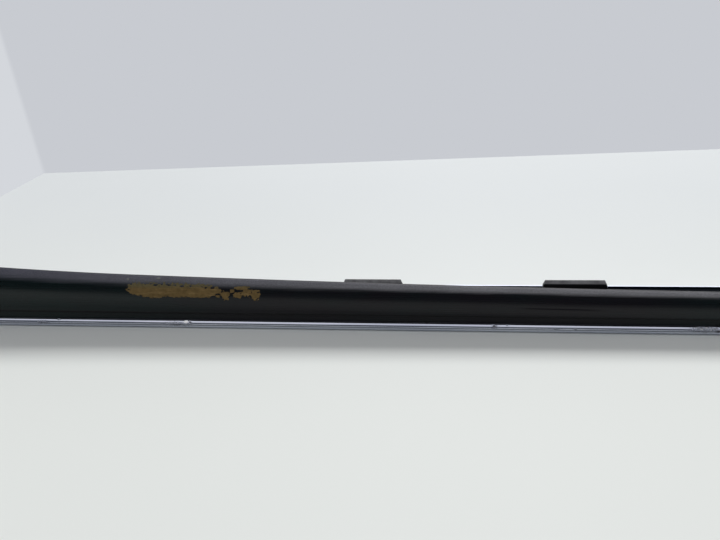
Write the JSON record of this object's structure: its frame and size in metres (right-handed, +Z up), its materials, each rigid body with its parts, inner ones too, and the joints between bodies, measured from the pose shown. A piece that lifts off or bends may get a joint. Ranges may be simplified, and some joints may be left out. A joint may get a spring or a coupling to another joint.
{
  "type": "window moulding",
  "caption": "Vehicle window moulding: black channel extrusion with a tall rounded lip, a folded bright metal strip with a front bead, and retaining clips in its channel.",
  "frame": {"origin": "centre of the moulding's length and depth, on the level floor that its flat bottom rests on", "axes": "+X along the moulding away from its tall end, +Y from the bead to the rear face, +Z up out of the open channel"},
  "size_m": [0.72, 0.013, 0.0394],
  "materials": {
    "black_body": "satin black extruded plastic, lightly scuffed",
    "bright_metal": "bright polished stainless sheet with small chips and scuffs",
    "clip_plastic": "matt charcoal moulded plastic"
  },
  "bodies": {
    "root": {"channel_body": "black_body", "bright_strip": "bright_metal", "clip_1": "clip_plastic", "clip_2": "clip_plastic", "clip_3": "clip_plastic", "clip_4": "clip_plastic", "clip_5": "clip_plastic", "clip_6": "clip_plastic", "clip_7": "clip_plastic"}
  },
  "joints": []
}
